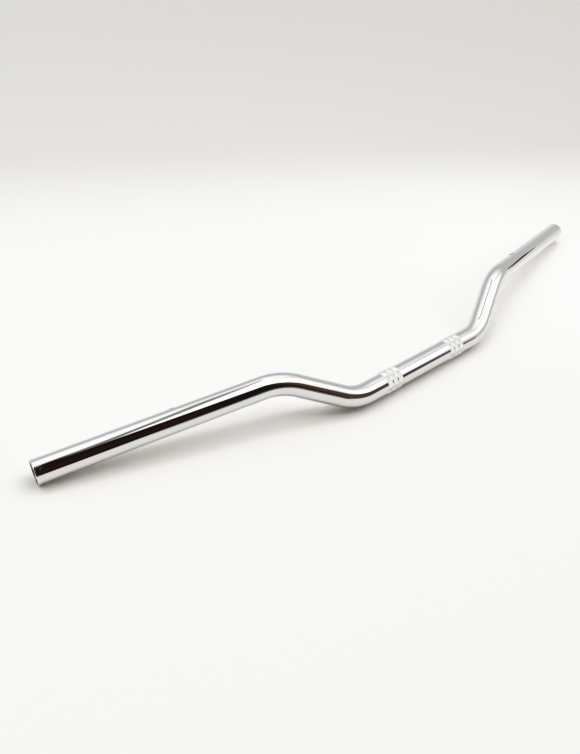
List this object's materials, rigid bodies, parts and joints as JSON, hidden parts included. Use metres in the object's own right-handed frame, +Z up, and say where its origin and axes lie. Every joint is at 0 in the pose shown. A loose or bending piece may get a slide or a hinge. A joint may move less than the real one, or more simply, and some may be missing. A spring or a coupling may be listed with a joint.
{
  "type": "motorcycle handlebar",
  "caption": "One-piece bent steel tube handlebar, chrome plated, with serrated clamp zones, open ends and drilled holes that locate the switch housings.",
  "frame": {"origin": "middle of the straight clamp section, on the tube's axis", "axes": "+X along the clamp section towards the grip end whose housing hole is further from its end, +Y the way both grips sweep back, +Z up from the level surface that the clamp section and both grip ends rest on"},
  "size_m": [0.7782, 0.1074, 0.0488],
  "materials": {
    "chromed_steel": "bright decorative chrome plating on steel tube, mirror smooth, with bare dull steel inside the bore"
  },
  "bodies": {
    "root": {"handlebar_tube": "chromed_steel"}
  },
  "joints": []
}
